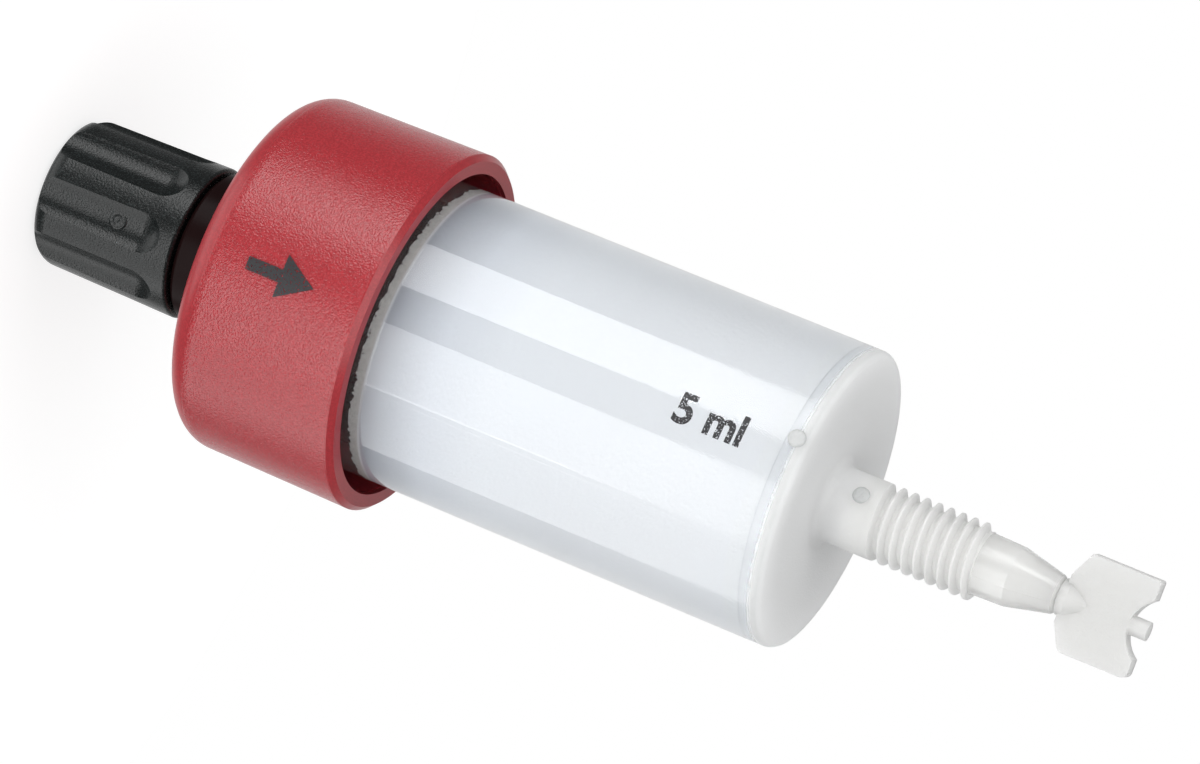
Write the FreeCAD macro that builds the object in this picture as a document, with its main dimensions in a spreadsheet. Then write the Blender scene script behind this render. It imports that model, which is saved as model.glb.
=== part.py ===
"""A prepacked 5 ml chromatography column: a clear moulded barrel with a screwed outlet and a
snap-off tab, a packed bed between two frits, a dark lid under a red cap ring, and a fluted
stop plug in the inlet.

Millimetres. +Z runs along the column from the plug's flat foot, at the origin, to the tab.
-Y is the side with the gate mark, which the tab's plate faces.
"""

import FreeCAD, Part
import math
import os
import Sketcher

# Sizes that are set by themselves, in millimetres, degrees or counts
SIZES = {
    # Stop plug: a fluted head to grip, and the shank that closes the inlet
    "head_length": 10.0,
    "head_foot_radius": 4.79,
    "head_top_radius": 4.96,
    "head_foot_round": 1.15,
    "head_top_round": 0.25,
    "flute_count": 8,
    "flute_turn": 10.0,
    "flute_depth": 0.5,
    "flute_cutter_radius": 1.9,
    "flute_end_gap": 0.6,
    "shank_length": 6.0,
    "shank_tip_length": 0.9,
    "shank_tip_radius": 1.3,
    "shank_neck_length": 0.8,
    # Screw thread of the inlet plug and of the outlet
    "thread_radius": 2.39,
    "thread_depth": 0.41,
    "thread_pitch": 0.794,
    "thread_root_flat": 0.22,
    "thread_flank": 30.0,
    "thread_run_out": 0.05,
    # Lid: port boss, flange and the insert that closes the barrel
    "seat_gap": 0.1,
    "boss_length": 3.5,
    "boss_radius": 4.8,
    "boss_chamfer": 0.3,
    "port_clearance": 0.05,
    "channel_radius": 0.4,
    "spread_radius": 6.5,
    "spread_depth": 0.5,
    "lid_flange_thickness": 1.6,
    "insert_length": 8.45,
    "insert_clearance": 0.05,
    # Cap ring round the lid
    "cap_length": 12.0,
    "cap_gap": 0.95,
    "cap_wall": 1.17,
    "cap_draft": 0.17,
    "cap_back_wall": 1.5,
    "cap_back_round": 1.9,
    "cap_rim_chamfer": 0.35,
    "cap_boss_clearance": 0.1,
    "bead_drop": 0.4,
    "bead_length": 1.2,
    "bead_collar_gap": 0.1,
    # Barrel
    "barrel_radius": 9.55,
    "barrel_wall": 1.55,
    "flange_clearance": 0.2,
    "flange_thickness": 1.6,
    "floor_thickness": 1.7,
    "end_round": 0.5,
    # Packing between the frits
    "bed_length": 25.0,
    "top_frit_thickness": 0.65,
    "bottom_frit_thickness": 1.0,
    "packing_clearance": 0.02,
    # Outlet: plain neck, thread, cone
    "neck_length": 2.75,
    "neck_round": 0.8,
    "thread_length": 7.25,
    "cone_step": 0.02,
    "cone_shoulder_radius": 1.89,
    "cone_shoulder_length": 2.25,
    "cone_end_radius": 1.23,
    "cone_length": 5.05,
    "cone_tip_chamfer": 0.15,
    # Snap-off tab
    "break_radius": 0.95,
    "break_length": 0.12,
    "tab_boss_radius": 1.15,
    "tab_boss_length": 0.5,
    "tab_boss_fade": 1.3,
    "tab_turn": 6.0,
    "tab_thickness": 1.25,
    "tab_half_width": 3.1,
    "tab_back_half_width": 1.5,
    "tab_back_slant": 0.8,
    "tab_back_gap": 0.23,
    "tab_length": 5.25,
    "tab_back_round": 0.5,
    "tab_end_round": 0.4,
    "tab_edge_round": 0.15,
    "notch_radius": 2.25,
    "notch_depth": 1.0,
    "gate_pin_radius": 0.6,
    "gate_pin_length": 1.2,
    "gate_pin_root": 0.5,
}

# Heights and radii worked out from the sizes
WORKED_OUT = {
    "flute_tip_z": "head_length - flute_end_gap",
    "flute_ball_z": "flute_tip_z - flute_cutter_radius",
    "flute_axis_radius": "head_foot_radius - flute_depth + flute_cutter_radius",
    "shank_end_z": "head_length + shank_length",
    "shank_tip_z": "shank_end_z - shank_tip_length",
    "shank_thread_z": "head_length + shank_neck_length",
    "shank_thread_turns": "(shank_tip_z - shank_thread_z) / thread_pitch",
    "boss_z": "head_length + seat_gap",
    "cap_back_z": "boss_z + boss_length",
    "lid_flange_z": "cap_back_z + cap_back_wall",
    "barrel_top_z": "lid_flange_z + lid_flange_thickness",
    "barrel_flange_z": "barrel_top_z + flange_thickness",
    "top_frit_z": "barrel_top_z + insert_length",
    "bed_z": "top_frit_z + top_frit_thickness",
    "bottom_frit_z": "bed_z + bed_length",
    "floor_z": "bottom_frit_z + bottom_frit_thickness",
    "end_z": "floor_z + floor_thickness",
    "port_radius": "thread_radius + port_clearance",
    "port_floor_z": "shank_end_z + seat_gap",
    "port_cone_z": "port_floor_z + port_radius - channel_radius",
    "spread_top_z": "top_frit_z - spread_depth",
    "spread_bottom_z": "floor_z + spread_depth",
    "bore_radius": "barrel_radius - barrel_wall",
    "insert_radius": "bore_radius - insert_clearance",
    "cap_inner_radius": "barrel_radius + cap_gap",
    "cap_front_radius": "cap_inner_radius + cap_wall",
    "cap_back_radius": "cap_front_radius - cap_draft",
    "cap_hole_radius": "boss_radius + cap_boss_clearance",
    "cap_rim_z": "cap_back_z + cap_length",
    "bead_radius": "cap_inner_radius - bead_drop",
    "bead_crest_z": "barrel_flange_z + bead_drop",
    "bead_end_z": "bead_crest_z + bead_length",
    "collar_radius": "bead_radius - bead_collar_gap",
    "flange_radius": "cap_inner_radius - flange_clearance",
    "packing_radius": "bore_radius - packing_clearance",
    "neck_z": "end_z + neck_length",
    "cone_z": "neck_z + thread_length",
    "thread_turns": "thread_length / thread_pitch",
    "groove_root_radius": "thread_radius - thread_depth",
    "groove_mouth_radius": "thread_radius + thread_run_out",
    "groove_slope": "(thread_depth + thread_run_out) * tan(thread_flank)",
    "groove_top": "groove_slope + thread_root_flat",
    "groove_width": "groove_top + groove_slope",
    "cone_start_radius": "groove_root_radius - cone_step",
    "cone_shoulder_z": "cone_z + cone_shoulder_length",
    "cone_tip_z": "cone_z + cone_length",
    "break_z": "cone_tip_z + cone_tip_chamfer",
    "tab_boss_z": "break_z + break_length",
    "tab_fade_z": "tab_boss_z + tab_boss_length",
    "tab_fade_end_z": "tab_fade_z + tab_boss_fade",
    "cone_tip_radius": "cone_end_radius - cone_tip_chamfer",
    "channel_end_z": "break_z + break_length / 2",
    "tab_z": "tab_boss_z + tab_back_gap",
    "tab_slant_z": "tab_z + tab_back_slant",
    "tab_end_z": "tab_z + tab_length",
    "notch_z": "tab_end_z - notch_depth",
    "notch_centre_z": "notch_z + notch_radius",
    "gate_pin_z": "notch_z - gate_pin_root",
    "tip_z": "notch_z + gate_pin_length",
    "tab_low_side": "-tab_half_width",
    "tab_low_back": "-tab_back_half_width",
}

ON_AXIS = None
NEAR = 1e-4
QUARTER_TURN = math.pi / 2

doc = FreeCAD.newDocument("chromatography_column")
sheet = doc.addObject("Spreadsheet::Sheet", "Sizes")


def fill_sheet():
    """Writes every size and every worked-out value into the sheet, each under its own name."""
    rows = [(alias, str(value)) for alias, value in SIZES.items()]
    rows += [(alias, "=" + formula) for alias, formula in WORKED_OUT.items()]
    for row, (alias, content) in enumerate(rows, start=1):
        sheet.set(f"A{row}", alias)
        sheet.set(f"B{row}", content)
        sheet.setAlias(f"B{row}", alias)
    doc.recompute()


def size(alias):
    return 0.0 if alias is ON_AXIS else float(sheet.get(alias))


def bind(feature, path, alias):
    feature.setExpression(path, f"Sizes.{alias}")


def new_body(label):
    body = doc.addObject("PartDesign::Body", label)
    body.Label = label
    return body


def new_sketch(body, name, turn=None):
    """A sketch on the plane through the column's axis, turned about that axis by a named angle."""
    sketch = body.newObject("Sketcher::SketchObject", name)
    plane = next(f for f in body.Origin.OriginFeatures if f.Role == "XZ_Plane")
    sketch.AttachmentSupport = (plane, [""])
    sketch.MapMode = "FlatFace"
    if turn is not None:
        sketch.AttachmentOffset = FreeCAD.Placement(
            FreeCAD.Vector(0, 0, 0), FreeCAD.Rotation(FreeCAD.Vector(0, 1, 0), size(turn))
        )
        bind(sketch, "AttachmentOffset.Rotation.Angle", turn)
    return sketch


def constrain(sketch, *facts):
    return sketch.addConstraint(Sketcher.Constraint(*facts))


def pin_point(sketch, geometry, end, across, along):
    """Holds a sketch point at two named distances: across from the axis, and along it."""
    for kind, alias, axis in (("DistanceX", across, -2), ("DistanceY", along, -1)):
        if alias is ON_AXIS:
            constrain(sketch, "PointOnObject", geometry, end, axis)
        else:
            index = constrain(sketch, kind, -1, 1, geometry, end, size(alias))
            name = f"{kind}_{index}"
            sketch.renameConstraint(index, name)
            bind(sketch, f"Constraints.{name}", alias)


def draw_outline(sketch, points):
    """Closes straight lines through points, each a pair of names: across and along the axis."""
    spots = [FreeCAD.Vector(size(across), size(along), 0) for across, along in points]
    first = sketch.GeometryCount
    for spot, following in zip(spots, spots[1:] + spots[:1]):
        sketch.addGeometry(Part.LineSegment(spot, following))
    for k, point in enumerate(points):
        constrain(sketch, "Coincident", first + k, 2, first + (k + 1) % len(points), 1)
        pin_point(sketch, first + k, 1, *point)


def turned(body, name, points, kind="PartDesign::Revolution"):
    """Revolves an outline about the column's axis, to add a form or to cut one."""
    sketch = new_sketch(body, name + "_outline")
    draw_outline(sketch, points)
    feature = body.newObject(kind, name)
    feature.Profile = sketch
    feature.ReferenceAxis = (sketch, ["V_Axis"])
    feature.Angle = 360
    doc.recompute()
    return feature


def rims(feature, radius, height):
    """The circular edges round the column's axis at a named radius and height."""
    names = []
    for k, edge in enumerate(feature.Shape.Edges, start=1):
        curve = edge.Curve
        if isinstance(curve, Part.Circle):
            wide = abs(curve.Radius - size(radius)) < NEAR
            high = abs(curve.Center.z - size(height)) < NEAR
            if wide and high:
                names.append(f"Edge{k}")
    return names


def eased(body, name, base, edges, alias, kind="PartDesign::Fillet"):
    """Rounds or chamfers edges of the body's last feature by a named size."""
    feature = body.newObject(kind, name)
    feature.Base = (base, edges)
    bind(feature, "Radius" if kind.endswith("Fillet") else "Size", alias)
    doc.recompute()
    return feature



def screw_thread(body, name, start, turns):
    """Cuts a right-hand V groove round the rod of thread_radius, from a named height up."""
    sketch = new_sketch(body, name + "_groove")
    sketch.AttachmentOffset = FreeCAD.Placement(
        FreeCAD.Vector(0, size(start), 0), FreeCAD.Rotation()
    )
    bind(sketch, "AttachmentOffset.Base.y", start)
    draw_outline(
        sketch,
        [
            ("groove_mouth_radius", ON_AXIS),
            ("groove_mouth_radius", "groove_width"),
            ("groove_root_radius", "groove_top"),
            ("groove_root_radius", "groove_slope"),
        ],
    )
    thread = body.newObject("PartDesign::SubtractiveHelix", name)
    thread.Profile = sketch
    thread.ReferenceAxis = (sketch, ["V_Axis"])
    thread.Mode = "pitch-turns-angle"
    bind(thread, "Pitch", "thread_pitch")
    bind(thread, "Turns", turns)
    doc.recompute()
    return thread


def make_stop_plug():
    body = new_body("stop_plug")
    head = turned(
        body,
        "head",
        [
            (ON_AXIS, ON_AXIS),
            ("head_foot_radius", ON_AXIS),
            ("head_top_radius", "head_length"),
            ("thread_radius", "head_length"),
            ("thread_radius", "shank_tip_z"),
            ("shank_tip_radius", "shank_end_z"),
            (ON_AXIS, "shank_end_z"),
        ],
    )
    foot_rim = rims(head, "head_foot_radius", ON_AXIS)
    foot = eased(body, "foot_round", head, foot_rim, "head_foot_round")
    top_rim = rims(foot, "head_top_radius", "head_length")
    eased(body, "top_round", foot, top_rim, "head_top_round")
    cut_flutes(body)
    screw_thread(body, "plug_thread", "shank_thread_z", "shank_thread_turns")
    return body


def cut_flutes(body):
    """Cuts the finger flutes, each the run of a ball-ended cutter up from the foot."""
    sketch = new_sketch(body, "flute_outline", "flute_turn")
    centre = FreeCAD.Vector(size("flute_axis_radius"), size("flute_ball_z"), 0)
    radius = size("flute_cutter_radius")
    foot = FreeCAD.Vector(centre.x, 0, 0)
    side = FreeCAD.Vector(radius, 0, 0)
    tip = centre + FreeCAD.Vector(0, radius, 0)
    quarter = Part.Circle(centre, FreeCAD.Vector(0, 0, 1), radius)
    sketch.addGeometry(Part.LineSegment(tip, foot))
    sketch.addGeometry(Part.LineSegment(foot, foot + side))
    sketch.addGeometry(Part.LineSegment(foot + side, centre + side))
    sketch.addGeometry(Part.ArcOfCircle(quarter, 0, QUARTER_TURN))
    for line, following in ((0, 1), (1, 2)):
        constrain(sketch, "Coincident", line, 2, following, 1)
    constrain(sketch, "Coincident", 3, 2, 0, 1)
    constrain(sketch, "Horizontal", 1)
    constrain(sketch, "Vertical", 2)
    constrain(sketch, "PointOnObject", 3, 3, 0)
    constrain(sketch, "Tangent", 2, 2, 3, 1)
    pin_point(sketch, 0, 2, "flute_axis_radius", ON_AXIS)
    pin_point(sketch, 0, 1, "flute_axis_radius", "flute_tip_z")
    index = constrain(sketch, "Radius", 3, radius)
    sketch.renameConstraint(index, "cutter")
    bind(sketch, "Constraints.cutter", "flute_cutter_radius")
    flute = body.newObject("PartDesign::Groove", "flute")
    flute.Profile = sketch
    flute.ReferenceAxis = (sketch, ["Edge1"])
    flute.Angle = 360
    doc.recompute()
    flutes = body.newObject("PartDesign::PolarPattern", "flutes")
    flutes.Originals = [flute]
    flutes.Axis = (sketch, ["V_Axis"])
    flutes.Angle = 360
    bind(flutes, "Occurrences", "flute_count")
    body.Tip = flutes
    doc.recompute()
    return flutes


def make_lid():
    body = new_body("lid")
    form = turned(
        body,
        "lid_form",
        [
            (ON_AXIS, "boss_z"),
            ("boss_radius", "boss_z"),
            ("boss_radius", "lid_flange_z"),
            ("flange_radius", "lid_flange_z"),
            ("flange_radius", "barrel_top_z"),
            ("insert_radius", "barrel_top_z"),
            ("insert_radius", "top_frit_z"),
            (ON_AXIS, "top_frit_z"),
        ],
    )
    boss_rim = rims(form, "boss_radius", "boss_z")
    eased(body, "boss_edge", form, boss_rim, "boss_chamfer", "PartDesign::Chamfer")
    turned(
        body,
        "inlet_port",
        [
            (ON_AXIS, "boss_z"),
            ("port_radius", "boss_z"),
            ("port_radius", "port_floor_z"),
            ("channel_radius", "port_cone_z"),
            ("channel_radius", "spread_top_z"),
            ("spread_radius", "top_frit_z"),
            (ON_AXIS, "top_frit_z"),
        ],
        "PartDesign::Groove",
    )
    return body


def make_cap():
    body = new_body("cap")
    ring = turned(
        body,
        "ring",
        [
            ("cap_hole_radius", "cap_back_z"),
            ("cap_back_radius", "cap_back_z"),
            ("cap_front_radius", "cap_rim_z"),
            ("cap_inner_radius", "cap_rim_z"),
            ("cap_inner_radius", "bead_end_z"),
            ("bead_radius", "bead_crest_z"),
            ("cap_inner_radius", "barrel_flange_z"),
            ("cap_inner_radius", "lid_flange_z"),
            ("cap_hole_radius", "lid_flange_z"),
        ],
    )
    back_rim = rims(ring, "cap_back_radius", "cap_back_z")
    back = eased(body, "back_round", ring, back_rim, "cap_back_round")
    front_rim = rims(back, "cap_front_radius", "cap_rim_z")
    eased(body, "rim_edge", back, front_rim, "cap_rim_chamfer", "PartDesign::Chamfer")
    return body


def make_barrel():
    body = new_body("barrel")
    turned(
        body,
        "barrel_form",
        [
            (ON_AXIS, "barrel_top_z"),
            ("flange_radius", "barrel_top_z"),
            ("flange_radius", "barrel_flange_z"),
            ("collar_radius", "barrel_flange_z"),
            ("collar_radius", "bead_end_z"),
            ("barrel_radius", "bead_end_z"),
            ("barrel_radius", "end_z"),
            ("thread_radius", "end_z"),
            ("thread_radius", "cone_z"),
            ("cone_start_radius", "cone_z"),
            ("cone_shoulder_radius", "cone_shoulder_z"),
            ("cone_end_radius", "cone_tip_z"),
            ("cone_tip_radius", "break_z"),
            ("break_radius", "break_z"),
            ("break_radius", "tab_boss_z"),
            ("tab_boss_radius", "tab_boss_z"),
            ("tab_boss_radius", "tab_fade_z"),
            ("gate_pin_radius", "tab_fade_end_z"),
            (ON_AXIS, "tab_fade_end_z"),
        ],
    )
    bore = turned(
        body,
        "bore",
        [
            (ON_AXIS, "barrel_top_z"),
            ("bore_radius", "barrel_top_z"),
            ("bore_radius", "floor_z"),
            ("spread_radius", "floor_z"),
            ("channel_radius", "spread_bottom_z"),
            ("channel_radius", "channel_end_z"),
            (ON_AXIS, "channel_end_z"),
        ],
        "PartDesign::Groove",
    )
    end = eased(body, "end_round", bore, rims(bore, "barrel_radius", "end_z"), "end_round")
    eased(body, "neck_round", end, rims(end, "thread_radius", "end_z"), "neck_round")
    screw_thread(body, "outlet_thread", "neck_z", "thread_turns")
    add_tab(body)
    return body


def add_tab(body):
    """The snap-off tab's plate, with its notch, its rounded corners and the gate pin."""
    sketch = new_sketch(body, "tab_outline", "tab_turn")
    draw_outline(
        sketch,
        [
            ("tab_low_back", "tab_z"),
            ("tab_back_half_width", "tab_z"),
            ("tab_half_width", "tab_slant_z"),
            ("tab_half_width", "tab_end_z"),
            ("tab_low_side", "tab_end_z"),
            ("tab_low_side", "tab_slant_z"),
        ],
    )
    plate = body.newObject("PartDesign::Pad", "tab_plate")
    plate.Profile = sketch
    plate.SideType = "Symmetric"
    bind(plate, "Length", "tab_thickness")
    doc.recompute()
    circle = new_sketch(body, "notch_circle", "tab_turn")
    centre = FreeCAD.Vector(0, size("notch_centre_z"), 0)
    circle.addGeometry(Part.Circle(centre, FreeCAD.Vector(0, 0, 1), size("notch_radius")))
    pin_point(circle, 0, 3, ON_AXIS, "notch_centre_z")
    index = constrain(circle, "Radius", 0, size("notch_radius"))
    circle.renameConstraint(index, "notch")
    bind(circle, "Constraints.notch", "notch_radius")
    notch = body.newObject("PartDesign::Pocket", "tab_notch")
    notch.Profile = circle
    notch.Type = "ThroughAll"
    notch.SideType = "Symmetric"
    doc.recompute()
    last = notch
    for name, across, along, alias in (
        ("back_corner", "tab_half_width", "tab_slant_z", "tab_back_round"),
        ("end_corner", "tab_half_width", "tab_end_z", "tab_end_round"),
        ("far_corner", "tab_low_side", "tab_end_z", "tab_edge_round"),
    ):
        last = eased(body, name, last, plate_corners(last, across, along), alias)
    turned(
        body,
        "gate_pin",
        [
            (ON_AXIS, "gate_pin_z"),
            ("gate_pin_radius", "gate_pin_z"),
            ("gate_pin_radius", "tip_z"),
            (ON_AXIS, "tip_z"),
        ],
    )


def plate_corners(feature, across, along):
    """The tab plate's corner edge that stands at a named place in the plate's own plane."""
    turn = FreeCAD.Rotation(FreeCAD.Vector(0, 0, 1), size("tab_turn"))
    names = []
    for k, edge in enumerate(feature.Shape.Edges, start=1):
        ends = [turn.inverted().multVec(vertex.Point) for vertex in edge.Vertexes]
        wide = all(abs(end.x - size(across)) < NEAR for end in ends)
        high = all(abs(end.z - size(along)) < NEAR for end in ends)
        if wide and high:
            names.append(f"Edge{k}")
    return names


def make_disc(label, base, thickness):
    """A plain disc or slug that fills the barrel's bore from a named height."""
    disc = doc.addObject("Part::Cylinder", label)
    disc.Label = label
    bind(disc, "Radius", "packing_radius")
    bind(disc, "Height", thickness)
    bind(disc, "Placement.Base.z", base)
    return disc


def check(parts):
    """Stops unless every object was made and every part is one whole, valid solid."""
    for thing in doc.Objects:
        if {"Invalid", "Error"} & set(thing.State):
            raise RuntimeError(f"{thing.Name} failed: {thing.State}")
    for part in parts:
        if part.Shape.isNull() or not part.Shape.isValid() or len(part.Shape.Solids) != 1:
            raise RuntimeError(f"{part.Label} is not one valid solid")


def main():
    fill_sheet()
    parts = [
        make_barrel(),
        make_disc("bottom_frit", "bottom_frit_z", "bottom_frit_thickness"),
        make_disc("resin_bed", "bed_z", "bed_length"),
        make_disc("top_frit", "top_frit_z", "top_frit_thickness"),
        make_lid(),
        make_cap(),
        make_stop_plug(),
    ]
    doc.recompute()
    check(parts)
    os.makedirs("parts", exist_ok=True)
    for part in parts:
        part.Shape.exportStep(f"parts/{part.Label}.step")
        print(part.Label, round(part.Shape.Volume, 2), "mm3", len(part.Shape.Faces), "faces")


main()
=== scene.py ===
"""Dresses, prints and lights a prepacked 5 ml chromatography column.

The column stands on its stop plug's foot at the origin, with the outlet and its snap-off tab
up. Angles round the column are counted from -Y, the side that faces the camera, towards +X.
"""

import bmesh
import bpy
import math
from mathutils import Euler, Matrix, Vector


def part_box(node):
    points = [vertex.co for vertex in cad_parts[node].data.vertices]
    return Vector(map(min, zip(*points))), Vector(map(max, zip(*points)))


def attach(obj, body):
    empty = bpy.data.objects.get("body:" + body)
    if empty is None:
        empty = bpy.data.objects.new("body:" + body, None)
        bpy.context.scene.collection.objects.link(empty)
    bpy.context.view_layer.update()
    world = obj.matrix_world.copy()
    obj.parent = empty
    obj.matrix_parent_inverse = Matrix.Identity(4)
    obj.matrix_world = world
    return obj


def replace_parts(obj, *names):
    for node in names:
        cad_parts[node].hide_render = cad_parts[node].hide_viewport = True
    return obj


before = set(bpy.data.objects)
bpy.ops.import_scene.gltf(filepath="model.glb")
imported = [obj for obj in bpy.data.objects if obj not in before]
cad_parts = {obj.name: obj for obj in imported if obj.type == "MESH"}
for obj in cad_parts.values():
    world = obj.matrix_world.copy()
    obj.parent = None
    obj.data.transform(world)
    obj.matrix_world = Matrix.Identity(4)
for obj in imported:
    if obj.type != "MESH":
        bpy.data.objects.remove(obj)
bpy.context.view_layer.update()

bl_info = {
    "name": "Chromatography Column Dresser",
    "version": (1, 0, 0),
    "blender": (4, 5, 0),
    "location": "3D View > Sidebar > Column",
    "description": "Finishes, prints and lights a prepacked chromatography column",
    "category": "Object",
}

MM = 0.001
BED_LOW, BED_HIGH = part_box("resin_bed")
CAP_LOW, CAP_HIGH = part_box("cap")
BARREL_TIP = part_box("barrel")[1].z
# Radii of the barrel's wall and plain neck, and of the floor of the plug's flutes
BARREL_RADIUS = 9.55 * MM
NECK_RADIUS = 2.39 * MM
FLUTE_FLOOR = 4.29 * MM
# Where the outlet's cone and its tab start, in millimetres above the end of the polished wall
CONE_START = 10.6
TAB_START = 15.9
# The halves of the barrel's mould meet at this angle, and again on the far side
PARTING_ANGLE = 27.5
# How far a filling reaches into the barrel's wall
WALL_OVERLAP = 0.04 * MM
# The milky floor ends this far above the end of the polished wall, and this far under the
# wall's outer surface
FLOOR_OVER = 0.05 * MM
FLOOR_INSET = 0.12 * MM
# A figure's height as a share of the font's size, and how much bolder it is printed
FIGURE_SHARE = 0.72
FIGURE_BOLD = 0.08 * MM
# How far the prints stand off the barrel, and off the ring, which narrows by its draft
INK_FILM = 0.012 * MM
ARROW_LIFT = 0.06 * MM
CAP_DRAFT = 0.08 * MM
# The arrow's half width as a share of its length, and its shaft's share of that
ARROW_HEAD = 0.3
ARROW_SHAFT = 0.3
# The softboxes stand this far from this height on the column's axis
LAMP_DISTANCE = 0.5
LIT_HEIGHT = 40 * MM
# The table's top lies this far under the plug's foot
TABLE_GAP = 0.05 * MM
# From the column towards the white wall that its glossy parts mirror
WHITE_WALL = (0.0, 0.92, -0.39)


def linear(colour):
    """An sRGB hex colour as three linear values."""
    channels = [int(colour[i:i + 2], 16) / 255 for i in (1, 3, 5)]
    return tuple(c / 12.92 if c <= 0.04045 else ((c + 0.055) / 1.055) ** 2.4 for c in channels)


def scaled(colour, share):
    """The colour made darker or lighter."""
    return tuple(c * share for c in colour)


def set_input(socket, value):
    """Gives a socket a constant. A colour may be three values, with its fourth left as 1."""
    if hasattr(value, "__len__") and len(socket.default_value) == len(value) + 1:
        value = (*value, 1.0)
    socket.default_value = value


def add_node(tree, kind, inputs=None, **settings):
    """Adds a node. inputs maps an input's name or number to a constant or to an output."""
    node = tree.nodes.new(kind)
    for name, value in settings.items():
        setattr(node, name, value)
    for key, value in (inputs or {}).items():
        if isinstance(value, bpy.types.NodeSocket):
            tree.links.new(value, node.inputs[key])
        else:
            set_input(node.inputs[key], value)
    return node


def plain_material(name, **constants):
    """A material with constants on its Principled shader, its tree, and its own coordinates."""
    material = bpy.data.materials.new(name)
    material.use_nodes = True
    tree = material.node_tree
    shader = tree.nodes["Principled BSDF"]
    for key, value in constants.items():
        set_input(shader.inputs[key.replace("_", " ")], value)
    place = add_node(tree, "ShaderNodeTexCoord").outputs["Object"]
    return material, tree, shader, place


def height_of(tree, place):
    """The height up the column, in millimetres."""
    apart = add_node(tree, "ShaderNodeSeparateXYZ", {0: place})
    return add_node(
        tree, "ShaderNodeMath", {0: apart.outputs["Z"], 1: 1 / MM}, operation="MULTIPLY",
    ).outputs[0]


def bands(tree, height, low, high, stops):
    """A value or colour that changes up the column, blended between (height in mm, value)."""
    share = add_node(
        tree, "ShaderNodeMapRange", {"Value": height, "From Min": low, "From Max": high},
    )
    ramp = add_node(tree, "ShaderNodeValToRGB", {0: share.outputs[0]})
    colours = ramp.color_ramp
    for index, (at, value) in enumerate(stops):
        spot = (at - low) / (high - low)
        # A new ramp has two stops
        stop = colours.elements[index] if index < 2 else colours.elements.new(spot)
        stop.position = spot
        stop.color = (*value, 1.0) if hasattr(value, "__len__") else (value, value, value, 1.0)
    return ramp.outputs["Color"]


def grain(tree, place, pitch, detail=2.0):
    """Noise whose lumps are about pitch millimetres apart."""
    return add_node(
        tree, "ShaderNodeTexNoise",
        {"Vector": place, "Scale": 1 / (pitch * MM), "Detail": detail, "Roughness": 0.5},
    ).outputs["Fac"]


def raise_surface(tree, shader, height, depth):
    """Feeds the shader a bump of depth millimetres."""
    bump = add_node(
        tree, "ShaderNodeBump", {"Height": height, "Distance": depth * MM, "Strength": 1.0},
    )
    tree.links.new(bump.outputs[0], shader.inputs["Normal"])


def tint(tree, factor, dark, light):
    """A colour between dark and light."""
    mixed = add_node(tree, "ShaderNodeMix", {0: factor, 6: dark, 7: light}, data_type="RGBA")
    return mixed.outputs[2]


def any_ray(tree, *kinds):
    """1 for a ray of any of these kinds and 0 for the rest."""
    rays = add_node(tree, "ShaderNodeLightPath").outputs
    found = rays[kinds[0]]
    for kind in kinds[1:]:
        found = add_node(
            tree, "ShaderNodeMath", {0: found, 1: rays[kind]}, operation="MAXIMUM",
        ).outputs[0]
    return found


def dress(node, material):
    """Puts the material in every slot of a solid."""
    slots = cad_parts[node].material_slots
    if not slots:
        raise RuntimeError(f"{node} has no material slot")
    for slot in slots:
        slot.material = material


def piece(name, mesh, material, body):
    """Links a mesh as a piece that rides on a body."""
    made = bpy.data.objects.new(name, mesh)
    bpy.context.scene.collection.objects.link(made)
    mesh.materials.append(material)
    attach(made, body)
    return made


def round_point(radius, angle, height):
    """A point at that radius, at that angle in degrees round the column, and at that height."""
    turn = math.radians(angle)
    return Vector((radius * math.sin(turn), -radius * math.cos(turn), height))


def wrap_round(shape, radius, angle, height, strip):
    """Cuts a flat shape into narrow strips and wraps it round the column, its x up the column."""
    top = max(v.co.y for v in shape.verts)
    low = min(v.co.y for v in shape.verts)
    for step in range(1, int((top - low) / strip) + 1):
        bmesh.ops.bisect_plane(
            shape, geom=shape.verts[:] + shape.edges[:] + shape.faces[:],
            plane_co=(0, low + step * strip, 0), plane_no=(0, 1, 0),
        )
    for v in shape.verts:
        v.co = round_point(radius, angle - math.degrees(v.co.y / radius), height + v.co.x)


def finished(shape, name):
    """The shape as a smooth-shaded mesh."""
    mesh = bpy.data.meshes.new(name)
    shape.to_mesh(mesh)
    shape.free()
    mesh.shade_smooth()
    return mesh


def filling(name, low, high, foot, top, material):
    """A disc inside the barrel between two heights, with its radius at its foot and its top."""
    shape = bmesh.new()
    bmesh.ops.create_cone(
        shape, cap_ends=True, segments=160, radius1=foot, radius2=top, depth=high - low,
    )
    for v in shape.verts:
        v.co.z += (low + high) / 2
    # The wall is shaded smooth and its two rims stay sharp
    for edge in shape.edges:
        edge.smooth = edge.calc_face_angle() < 0.5
    return piece(name, finished(shape, name), material, "column")


def packed_disc(name, node, material):
    """A filling in place of a CAD node, wet against the wall with no air to mirror the light."""
    low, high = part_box(node)
    radius = high.x + WALL_OVERLAP
    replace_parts(filling(name, low.z, high.z, radius, radius, material), node)


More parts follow.
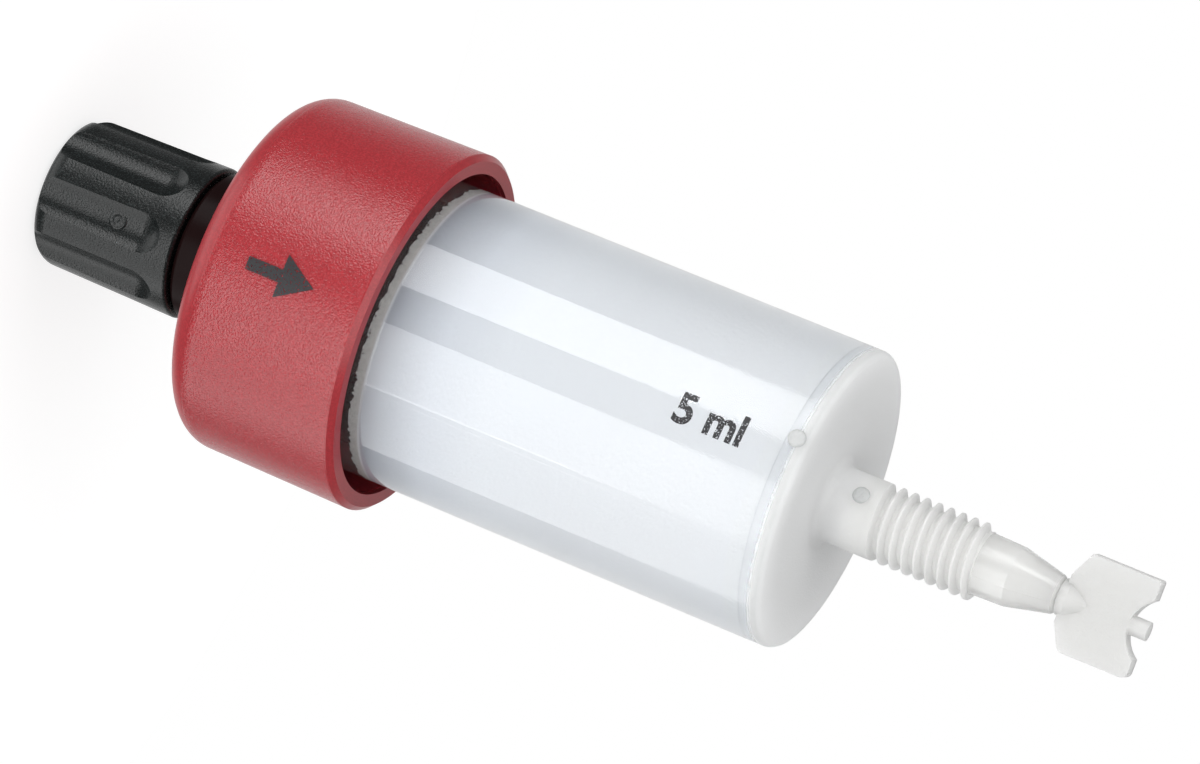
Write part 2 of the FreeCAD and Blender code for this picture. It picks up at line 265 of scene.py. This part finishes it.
def moulded_button(name, radius, rings, outward, centre):
    """A small moulded mark, turned from rings of (radius share, rise in millimetres)."""
    up = Vector((0, 0, 1))
    side = outward.cross(up)
    shape = bmesh.new()
    sides = 32
    loops = []
    for share, rise in rings:
        loop = []
        for k in range(sides):
            turn = math.tau * k / sides
            spread = side * math.cos(turn) + up * math.sin(turn)
            loop.append(shape.verts.new(centre + spread * radius * share + outward * rise * MM))
        loops.append(loop)
    for inner, outer in zip(loops, loops[1:]):
        for k in range(sides):
            shape.faces.new((inner[k], outer[k], outer[k - 1], inner[k - 1]))
    shape.faces.new(loops[0])
    bmesh.ops.recalc_face_normals(shape, faces=shape.faces)
    return finished(shape, name)


def colour_setting(name, description, value):
    """A colour that the panel shows, from an sRGB hex value."""
    return bpy.props.FloatVectorProperty(
        name=name, description=description, default=linear(value), subtype="COLOR", size=3,
        min=0.0, max=1.0,
    )


def length_setting(name, description, value):
    """A length that the panel shows, from millimetres."""
    return bpy.props.FloatProperty(
        name=name, description=description, default=value * MM, unit="LENGTH", min=0.0,
    )


class ColumnFinish(bpy.types.PropertyGroup):
    """Colours of the column's own materials."""

    barrel: colour_setting("Barrel", "Natural polypropylene of the barrel", "#fefefc")
    gel: colour_setting("Gel", "Settled gel beads", "#f6faff")
    frit: colour_setting("Frit", "Sintered polyethylene discs", "#e2e2e0")
    lid: colour_setting("Lid", "Glossy lid under the ring", "#150a0a")
    cap: colour_setting("Cap ring", "Textured red ring", "#972a30")
    plug: colour_setting("Stop plug", "Spark-textured dark grey plug", "#141818")
    ink: colour_setting("Ink", "Printed marks", "#232124")


class ColumnMarks(bpy.types.PropertyGroup):
    """Sizes of the printed marks, and where the barrel's polish ends."""

    print_height: length_setting("Print height", "Height of the volume mark's figure", 1.9)
    print_start: length_setting(
        "Print place", "How far up the column the volume mark starts", 45.1,
    )
    arrow_length: length_setting("Arrow length", "Length of the flow arrow on the ring", 4.6)
    arrow_centre: length_setting(
        "Arrow place", "How far up the column the arrow's middle is", 19.8,
    )
    polish_end: length_setting(
        "Polish end", "Height where the barrel's polished wall turns frosted", 52.83,
    )


class ColumnStage(bpy.types.PropertyGroup):
    """Camera and lights."""

    lens: bpy.props.FloatProperty(
        name="Lens", description="Focal length in millimetres", default=204.7, min=1.0,
    )
    camera_place: bpy.props.FloatVectorProperty(
        name="Camera place", description="Where the camera stands", subtype="TRANSLATION",
        unit="LENGTH", default=(-1.368 * MM, -392.98 * MM, 166.316 * MM),
    )
    camera_turn: bpy.props.FloatVectorProperty(
        name="Camera turn", description="How the camera is turned", subtype="EULER",
        unit="ROTATION", default=tuple(math.radians(a) for a in (-49.068, -61.5314, 142.6802)),
    )
    surround: bpy.props.FloatProperty(
        name="Surround", description="How brightly the white room lights the object",
        default=0.46, min=0.0,
    )
    floor_radius: bpy.props.FloatProperty(
        name="Floor radius", description="Radius of the white table under the column",
        default=0.06, unit="LENGTH",
    )


class COLUMN_OT_dress_barrel(bpy.types.Operator):
    """Gives the barrel its clear wall, frosted outlet and glossy cone"""

    bl_idname = "column.dress_barrel"
    bl_label = "Barrel"

    def execute(self, context):
        finish = context.scene.column_finish
        # Natural polypropylene, injection moulded: a clear wall with a polished skin, milky
        # where it is thick, and spark-frosted on its end and tab, which turns the light soft
        material, tree, shader, place = plain_material(
            "natural_polypropylene_moulded", IOR=1.49, Subsurface_Weight=1.0,
            Subsurface_Radius=(1.0, 1.0, 1.0), Subsurface_Scale=4.0 * MM,
        )
        height = height_of(tree, place)
        skin = context.scene.column_marks.polish_end / MM
        cone, tab = skin + CONE_START, skin + TAB_START
        tip, bed_end = BARREL_TIP / MM, BED_HIGH.z / MM
        # Polished up to the skin's end and on the cone, frosted between them and on the tab
        rough = bands(tree, height, 0.0, tip, [
            (0.0, 0.03), (bed_end - 18.0, 0.03), (bed_end - 6.0, 0.07), (skin - 0.1, 0.14),
            (skin + 0.1, 0.3), (skin + 0.7, 0.45), (cone, 0.45), (cone + 0.3, 0.14),
            (tab - 0.4, 0.14), (tab, 0.4),
        ])
        # How much of the light goes through: nearly all in the wall, little where it is milky
        clear = bands(tree, height, 0.0, tip, [
            (0.0, 0.95), (skin - 0.15, 0.95), (skin + 0.1, 0.2), (cone, 0.2),
            (cone + 0.3, 0.35), (tab - 0.4, 0.35), (tab, 0.15),
        ])
        # The frosted part's height, share of the barrel's colour and cast: cool next to the bed.
        # Painted shade makes the skirt darker than the end face, which the lamps light less; the
        # neck, thread, cone and tab each get their own share
        cool, plain = (0.965, 0.985, 1.0), (1.0, 1.0, 1.0)
        milky = [
            (skin + 0.1, 0.72, cool), (skin + 0.45, 0.73, cool), (skin + 0.65, 0.99, cool),
            (skin + 2.5, 0.93, plain), (skin + 3.6, 0.77, plain), (cone, 0.74, plain),
            (cone + 0.3, 0.76, plain), (tab - 0.4, 0.78, plain), (tab, 0.62, plain),
        ]
        colour = bands(
            tree, height, 0.0, tip,
            [(0.0, finish.barrel), (skin - 0.15, finish.barrel)]
            + [(at, tuple(c * share * k for c, k in zip(finish.barrel, cast)))
               for at, share, cast in milky],
        )
        # Spark texture about 0.12 mm between lumps where the wall is frosted, and the mould's
        # parting line, a hair's breadth proud on both sides, where it is polished
        frosted = add_node(
            tree, "ShaderNodeMapRange", {"Value": rough, "From Min": 0.05, "From Max": 0.3},
        ).outputs[0]
        split = math.radians(PARTING_ANGLE)
        across = add_node(
            tree, "ShaderNodeVectorMath", {0: place, 1: (math.cos(split), math.sin(split), 0.0)},
            operation="DOT_PRODUCT",
        ).outputs["Value"]
        away = add_node(tree, "ShaderNodeMath", {0: across}, operation="ABSOLUTE").outputs[0]
        parting = add_node(
            tree, "ShaderNodeMapRange",
            {"Value": away, "From Max": 0.05 * MM, "To Min": 1.0, "To Max": 0.0},
        ).outputs[0]
        relief = add_node(
            tree, "ShaderNodeMix", {0: frosted, 2: parting, 3: grain(tree, place, 0.12)},
        ).outputs[0]
        raise_surface(tree, shader, relief, 0.02)
        for socket, value in (
            ("Roughness", rough), ("Transmission Weight", clear), ("Base Color", colour),
        ):
            tree.links.new(value, shader.inputs[socket])
        # The plastic takes about a sixth of the light over 15 mm
        depth = add_node(
            tree, "ShaderNodeVolumeAbsorption", {"Color": (0.5, 0.5, 0.49), "Density": 22.0},
        )
        tree.links.new(depth.outputs[0], tree.nodes["Material Output"].inputs["Volume"])
        dress("barrel", material)
        return {"FINISHED"}


class COLUMN_OT_dress_packing(bpy.types.Operator):
    """Fills the barrel with its bed, its two frits and its milky floor"""

    bl_idname = "column.dress_packing"
    bl_label = "Packing"

    def execute(self, context):
        finish = context.scene.column_finish
        packed_disc("gel_bed", "resin_bed", self.settled_gel(finish))
        frit = self.sintered_frit(finish)
        packed_disc("inlet_frit", "top_frit", frit)
        packed_disc("outlet_frit", "bottom_frit", frit)
        milky = self.milky_plastic(finish)
        frit_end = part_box("bottom_frit")[1]
        skin = context.scene.column_marks.polish_end
        filling(
            "milky_floor", frit_end.z, skin + FLOOR_OVER, frit_end.x, BARREL_RADIUS - FLOOR_INSET,
            milky,
        )
        return {"FINISHED"}

    def settled_gel(self, finish):
        """Wet gel beads of about 0.1 mm, drawn 0.3 mm apart so that they show."""
        # Matt and white with a faint cool cast, soft to the eye
        gel, tree, shader, place = plain_material("gel_beads_settled", Roughness=0.7, IOR=1.36)
        beads = grain(tree, place, 0.3)
        white = tint(tree, beads, scaled(finish.gel, 0.96), finish.gel)
        # Painted shade darkens the bed's start, as light leaks out of the bed into the dark lid,
        # behind a painted highlight along its first line of beads
        start = BED_LOW.z / MM
        painted_lid_shade = bands(tree, height_of(tree, place), start, BED_HIGH.z / MM, [
            (start, 0.78), (start + 0.12, 0.78), (start + 0.22, (0.44, 0.45, 0.50)),
            (start + 1.6, (0.53, 0.55, 0.59)), (start + 4.2, (0.76, 0.78, 0.82)),
            (start + 8.0, (0.84, 0.85, 0.87)), (start + 12.5, (0.83, 0.835, 0.85)),
            (start + 21.0, (0.84, 0.84, 0.85)),
        ])
        settled = add_node(
            tree, "ShaderNodeMix", {0: 1.0, 6: white, 7: painted_lid_shade}, data_type="RGBA",
            blend_type="MULTIPLY",
        )
        tree.links.new(settled.outputs[2], shader.inputs["Base Color"])
        raise_surface(tree, shader, beads, 0.03)
        return gel

    def sintered_frit(self, finish):
        """Sintered polyethylene, for both frits."""
        # Chalky grains about 0.25 mm across with dark pores, and painted shade: the edge against
        # the lid is painted in the lid's dark colour, with a broken line
        frit, tree, shader, place = plain_material("polyethylene_sintered", Roughness=0.85, IOR=1.5)
        pores = grain(tree, place, 0.25, 3.0)
        height = height_of(tree, place)
        broken = add_node(
            tree, "ShaderNodeMath", {0: grain(tree, place, 0.5), 1: 0.9, 2: height},
            operation="MULTIPLY_ADD",
        ).outputs[0]
        lid_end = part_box("top_frit")[0].z / MM
        painted_shade_band = add_node(
            tree, "ShaderNodeMapRange",
            {"Value": broken, "From Min": lid_end + 0.5, "From Max": lid_end + 0.58},
        ).outputs[0]
        chalk = tint(tree, pores, scaled(finish.frit, 0.6), finish.frit)
        # The wetted outlet frit, well above the inlet's, looks as pale as the bed
        wet = add_node(
            tree, "ShaderNodeMapRange",
            {"Value": height, "From Min": lid_end + 5.0, "From Max": lid_end + 6.0},
        ).outputs[0]
        chalk = tint(tree, wet, chalk, scaled(finish.gel, 0.83))
        # Painted shade: the lid's dark colour on the frit next to the lid
        tree.links.new(tint(tree, painted_shade_band, finish.lid, chalk), shader.inputs["Base Color"])
        raise_surface(tree, shader, pores, 0.05)
        return frit

    def milky_plastic(self, finish):
        """The inside of the barrel's thick floor."""
        # The floor scatters light inside, which makes it a soft even white under its clear skin
        milky, tree, shader, place = plain_material(
            "natural_polypropylene_milky", IOR=1.49, Roughness=0.6, Specular_IOR_Level=0.05,
        )
        haze = tint(
            tree, grain(tree, place, 1.5), scaled(finish.gel, 0.87), scaled(finish.gel, 0.91),
        )
        tree.links.new(haze, shader.inputs["Base Color"])
        return milky


class COLUMN_OT_dress_lid(bpy.types.Operator):
    """Gives the lid its glossy dark finish"""

    bl_idname = "column.dress_lid"
    bl_label = "Lid"

    def execute(self, context):
        finish = context.scene.column_finish
        # Polypropylene with a brown-black pigment, moulded against polished steel: deep and
        # glossy, with a faint flow pattern that wobbles its reflections
        material, tree, shader, place = plain_material(
            "polypropylene_dark_polished", IOR=1.49, Specular_IOR_Level=0.05,
        )
        flow = grain(tree, place, 2.5)
        pigment = tint(tree, flow, finish.lid, scaled(finish.lid, 1.6))
        tree.links.new(pigment, shader.inputs["Base Color"])
        gloss = add_node(
            tree, "ShaderNodeMapRange", {"Value": flow, "To Min": 0.25, "To Max": 0.35},
        ).outputs[0]
        tree.links.new(gloss, shader.inputs["Roughness"])
        raise_surface(tree, shader, flow, 0.02)
        dress("lid", material)
        return {"FINISHED"}


class COLUMN_OT_dress_cap(bpy.types.Operator):
    """Gives the ring its fine red texture, with a smooth rim and back edge"""

    bl_idname = "column.dress_cap"
    bl_label = "Cap ring"

    def execute(self, context):
        finish = context.scene.column_finish
        # Pigmented polypropylene, its outer wall moulded against an etched leather grain about
        # 0.12 mm across that spreads highlights, and its rim and rounded back left smooth
        material, tree, shader, place = plain_material(
            "polypropylene_red_grained", IOR=1.49, Specular_IOR_Level=0.5,
        )
        low, high = CAP_LOW.z / MM, CAP_HIGH.z / MM
        grained = bands(tree, height_of(tree, place), low, high, [
            (low, 0.0), (low + 1.4, 0.0), (low + 1.5, 1.0), (high - 0.45, 1.0),
            (high - 0.35, 0.0),
        ])
        relief = add_node(
            tree, "ShaderNodeMath", {0: grain(tree, place, 0.12, 1.0), 1: grained},
            operation="MULTIPLY",
        ).outputs[0]
        raise_surface(tree, shader, relief, 0.035)
        # Painted glints: small light specks painted into the red between the lumps
        painted_glint_specks = add_node(
            tree, "ShaderNodeMapRange",
            {"Value": grain(tree, place, 0.13, 1.0), "From Min": 0.42, "From Max": 0.62},
        ).outputs[0]
        pigment = tint(tree, painted_glint_specks, scaled(finish.cap, 0.9), scaled(finish.cap, 1.13))
        tree.links.new(pigment, shader.inputs["Base Color"])
        sheen = add_node(
            tree, "ShaderNodeMapRange", {"Value": grained, "To Min": 0.3, "To Max": 0.2},
        ).outputs[0]
        tree.links.new(sheen, shader.inputs["Roughness"])
        dress("cap", material)
        return {"FINISHED"}


class COLUMN_OT_dress_plug(bpy.types.Operator):
    """Gives the stop plug its dark texture and the round mark where its mould was filled"""

    bl_idname = "column.dress_plug"
    bl_label = "Stop plug"

    def execute(self, context):
        material = self.sparked_plastic(context.scene.column_finish.plug)
        dress("stop_plug", material)
        # The mark sits a little off the middle of the flute that faces the camera
        rings = [(0.2, 0.08), (0.4, 0.12), (0.55, 0.04), (0.7, 0.1), (0.85, 0.07), (1.0, -0.1)]
        mesh = moulded_button(
            "plug_fill_mark", 0.7 * MM, rings, round_point(1.0, 7.7, 0.0),
            round_point(FLUTE_FLOOR, 8.5, 5.7 * MM),
        )
        piece("plug_fill_mark", mesh, material, "plug")
        return {"FINISHED"}

    def sparked_plastic(self, colour):
        """Dark grey polypropylene from a spark-eroded mould."""
        # Lumps about 0.12 mm apart that catch glints, more glints painted as light specks, and an
        # even dark sheen
        material, tree, shader, place = plain_material(
            "polypropylene_grey_sparked", IOR=1.49, Specular_IOR_Level=0.38,
        )
        lumps = grain(tree, place, 0.12)
        painted_glints = add_node(
            tree, "ShaderNodeMapRange",
            {"Value": lumps, "From Min": 0.52, "From Max": 0.64, "To Min": 0.6, "To Max": 2.0},
        ).outputs[0]
        glint_painted_colour = add_node(
            tree, "ShaderNodeVectorMath", {0: colour, "Scale": painted_glints}, operation="SCALE",
        ).outputs[0]
        tree.links.new(glint_painted_colour, shader.inputs["Base Color"])
        sheen = add_node(
            tree, "ShaderNodeMapRange", {"Value": lumps, "To Min": 0.2, "To Max": 0.33},
        ).outputs[0]
        tree.links.new(sheen, shader.inputs["Roughness"])
        raise_surface(tree, shader, lumps, 0.02)
        return material


class COLUMN_OT_add_gate_marks(bpy.types.Operator):
    """Adds the small moulded buttons at the barrel's end and on its neck"""

    bl_idname = "column.add_gate_marks"
    bl_label = "Barrel marks"

    def execute(self, context):
        # The barrel's plastic where it is thin and rough, so it only scatters
        material, tree, shader, place = plain_material(
            "natural_polypropylene_gate", Base_Color=(0.5, 0.51, 0.51), Roughness=0.35, IOR=1.49,
        )
        raise_surface(tree, shader, grain(tree, place, 0.2), 0.08)
        rings = [(0.55, 0.1), (0.8, 0.09), (0.95, 0.04), (1.0, -0.05)]
        # Radius of the button, and its distance from the axis, angle and height on the column
        spots = {
            "barrel_button": (0.575 * MM, BARREL_RADIUS, -16.4, 52.7 * MM),
            "neck_button": (0.55 * MM, NECK_RADIUS, -26.0, 55.65 * MM),
        }
        for name, (radius, out, angle, height) in spots.items():
            mesh = moulded_button(
                name, radius, rings, round_point(1.0, angle, 0.0), round_point(out, angle, height),
            )
            piece(name, mesh, material, "column")
        return {"FINISHED"}


class COLUMN_OT_print_marks(bpy.types.Operator):
    """Prints the plain volume mark on the barrel and a flow arrow on the ring"""

    bl_idname = "column.print_marks"
    bl_label = "Printed marks"

    def execute(self, context):
        marks = context.scene.column_marks
        ink = self.pad_ink(context.scene.column_finish.ink)
        curve = bpy.data.curves.new("volume_outline", "FONT")
        curve.body = "5 ml"
        curve.size = marks.print_height / FIGURE_SHARE
        curve.offset = FIGURE_BOLD
        outline = bpy.data.objects.new("volume_outline", curve)
        flat = bpy.data.meshes.new_from_object(outline)
        shape = bmesh.new()
        shape.from_mesh(flat)
        bpy.data.objects.remove(outline)
        wrap_round(shape, BARREL_RADIUS + INK_FILM, -5.6, marks.print_start, 0.2 * MM)
        mark = piece("volume_mark", finished(shape, "volume_mark"), ink, "column")
        # The film is far too thin to shade the bed under the clear wall
        mark.visible_shadow = mark.visible_diffuse = mark.visible_transmission = False

        long, half = marks.arrow_length, marks.arrow_length * ARROW_HEAD
        shaft = half * ARROW_SHAFT
        shape = bmesh.new()
        corners = [
            (-long / 2, -shaft), (0.0, -shaft), (0.0, -half), (long / 2, 0.0),
            (0.0, half), (0.0, shaft), (-long / 2, shaft),
        ]
        shape.faces.new([shape.verts.new((x, y, 0.0)) for x, y in corners])
        ring_radius = (CAP_HIGH.x - CAP_LOW.x) / 2 - CAP_DRAFT
        wrap_round(shape, ring_radius + ARROW_LIFT, 0.0, marks.arrow_centre, 0.15 * MM)
        piece("flow_arrow", finished(shape, "flow_arrow"), ink, "column")
        return {"FINISHED"}

    def pad_ink(self, colour):
        """Pad-printed ink."""
        # A thin dark film, its edges and specks broken as the pad leaves them
        material, tree, shader, place = plain_material("pad_print_ink", IOR=1.5, Roughness=0.45)
        specks = grain(tree, place, 0.1)
        film = tint(tree, specks, scaled(colour, 0.7), scaled(colour, 1.5))
        tree.links.new(film, shader.inputs["Base Color"])
        cover = add_node(
            tree, "ShaderNodeMapRange", {"Value": specks, "From Min": 0.36, "From Max": 0.41},
        ).outputs[0]
        tree.links.new(cover, shader.inputs["Alpha"])
        return material


class COLUMN_OT_make_stage(bpy.types.Operator):
    """Sets up the white table, the white room, the softboxes and the camera"""

    bl_idname = "column.make_stage"
    bl_label = "Stage"

    def execute(self, context):
        scene = context.scene
        stage = scene.column_stage
        self.make_floor(stage.floor_radius)
        self.make_room(scene, stage.surround)
        self.make_lamps(scene)
        lens = bpy.data.cameras.new("camera")
        lens.sensor_width, lens.lens = 36.0, stage.lens
        lens.clip_start, lens.clip_end = 0.01, 10.0
        camera = bpy.data.objects.new("camera", lens)
        camera.location = stage.camera_place
        camera.rotation_euler = Euler(stage.camera_turn)
        scene.collection.objects.link(camera)
        scene.camera = camera
        scene.view_settings.view_transform = "Standard"
        return {"FINISHED"}

    def make_floor(self, radius):
        """Lays the white table under the plug."""
        shape = bmesh.new()
        bmesh.ops.create_circle(shape, cap_ends=True, segments=96, radius=radius)
        for v in shape.verts:
            v.co.z = -TABLE_GAP
        # White acrylic table: almost as white as the room, and it keeps a soft shadow
        material, tree, shader, _ = plain_material(
            "white_acrylic_table", Base_Color=(0.32, 0.32, 0.32), Roughness=0.6,
        )
        # It glows brighter where it is seen than where it lights the column
        seen = any_ray(tree, "Is Camera Ray", "Is Glossy Ray", "Is Transmission Ray")
        level = add_node(
            tree, "ShaderNodeMapRange", {"Value": seen, "To Min": 0.35, "To Max": 0.77},
        ).outputs[0]
        glow = add_node(tree, "ShaderNodeEmission", {"Strength": level}).outputs[0]
        both = add_node(tree, "ShaderNodeAddShader", {0: shader.outputs[0], 1: glow}).outputs[0]
        tree.links.new(both, tree.nodes["Material Output"].inputs["Surface"])
        mesh = finished(shape, "table")
        mesh.materials.append(material)
        table = bpy.data.objects.new("table", mesh)
        bpy.context.scene.collection.objects.link(table)
        # Some softboxes stand lower than the table's top, and it neither hides them nor shows
        # in gloss
        table.visible_shadow = table.visible_glossy = False
        # The column stands on its plug, so the table goes where the plug goes
        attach(table, "plug")

    def make_room(self, scene, surround):
        """Surrounds the column with a white room."""
        world = bpy.data.worlds.new("white_room")
        scene.world = world
        world.use_nodes = True
        tree = world.node_tree
        # White where it is seen, straight or through the clear wall, and dimmer as a light
        seen = any_ray(tree, "Is Camera Ray", "Is Transmission Ray")
        level = add_node(
            tree, "ShaderNodeMath", {0: seen, 1: 1.0 - surround, 2: surround},
            operation="MULTIPLY_ADD",
        ).outputs[0]
        # Reflections see the white wall low behind the column and a dimmer room elsewhere
        toward = add_node(tree, "ShaderNodeTexCoord").outputs["Generated"]
        backward = add_node(
            tree, "ShaderNodeVectorMath", {0: toward, 1: WHITE_WALL}, operation="DOT_PRODUCT",
        ).outputs["Value"]
        wall = add_node(
            tree, "ShaderNodeMapRange",
            {"Value": backward, "From Min": 0.5, "From Max": 0.95, "To Min": 0.15, "To Max": 0.75},
            interpolation_type="SMOOTHSTEP",
        ).outputs[0]
        rays = add_node(tree, "ShaderNodeLightPath").outputs
        mirrored = add_node(
            tree, "ShaderNodeMath",
            {0: rays["Is Glossy Ray"], 1: rays["Is Transmission Ray"]}, operation="GREATER_THAN",
        ).outputs[0]
        strength = add_node(tree, "ShaderNodeMix", {0: mirrored, 2: level, 3: wall}).outputs[0]
        room = tree.nodes["Background"]
        room.inputs["Color"].default_value = (1, 1, 1, 1)
        tree.links.new(strength, room.inputs["Strength"])

    def make_lamps(self, scene):
        """Hangs the softboxes round the column."""
        # Angle round the column, angle above the horizon, width, height and strength of each
        # softbox. The first two lie as the two long bands of light on the barrel, and the
        # fourth as the one on the outlet's cone
        softboxes = {
            "left_softbox": (-46.0, -18.0, 0.32, 0.20, 0.93),
            "right_softbox": (27.0, -18.0, 0.42, 0.20, 0.96),
            "side_softbox": (78.0, -18.0, 0.50, 0.30, 1.0),
            "cone_softbox": (-46.0, 8.0, 0.18, 0.14, 0.39),
            "top_softbox": (-10.0, 60.0, 0.50, 0.50, 1.55),
            "end_softbox": (-20.0, -70.0, 0.45, 0.45, 0.9),
        }
        centre = Vector((0, 0, LIT_HEIGHT))
        for name, (turn, rise, width, tall, power) in softboxes.items():
            lamp = bpy.data.lights.new(name, "AREA")
            lamp.shape = "RECTANGLE"
            lamp.size, lamp.size_y, lamp.energy = width, tall, power
            held = bpy.data.objects.new(name, lamp)
            lift = math.radians(rise)
            toward = round_point(math.cos(lift), turn, math.sin(lift))
            held.location = centre + toward * LAMP_DISTANCE
            held.rotation_euler = toward.to_track_quat("Z", "Y").to_euler()
            held.visible_camera = False
            scene.collection.objects.link(held)


STEPS = (
    COLUMN_OT_dress_barrel, COLUMN_OT_dress_packing, COLUMN_OT_dress_lid, COLUMN_OT_dress_cap,
    COLUMN_OT_dress_plug, COLUMN_OT_add_gate_marks, COLUMN_OT_print_marks, COLUMN_OT_make_stage,
)


class COLUMN_PT_panel(bpy.types.Panel):
    """Lists the column's pieces and its stage"""

    bl_idname = "COLUMN_PT_panel"
    bl_label = "Chromatography column"
    bl_space_type = "VIEW_3D"
    bl_region_type = "UI"
    bl_category = "Column"

    def draw(self, context):
        scene = context.scene
        for step in STEPS:
            self.layout.operator(step.bl_idname)
        for group in (scene.column_finish, scene.column_marks, scene.column_stage):
            for name in group.bl_rna.properties.keys():
                if name not in ("rna_type", "name"):
                    self.layout.prop(group, name)


GROUPS = {
    "column_finish": ColumnFinish, "column_marks": ColumnMarks, "column_stage": ColumnStage,
}


def register():
    for name, group in GROUPS.items():
        bpy.utils.register_class(group)
        setattr(bpy.types.Scene, name, bpy.props.PointerProperty(type=group))
    for kind in (*STEPS, COLUMN_PT_panel):
        bpy.utils.register_class(kind)


def unregister():
    for kind in reversed((*STEPS, COLUMN_PT_panel)):
        bpy.utils.unregister_class(kind)
    for name, group in reversed(GROUPS.items()):
        delattr(bpy.types.Scene, name)
        bpy.utils.unregister_class(group)


def main():
    register()
    for step in STEPS:
        area, name = step.bl_idname.split(".")
        getattr(getattr(bpy.ops, area), name)()


if __name__ == "__main__":
    main()
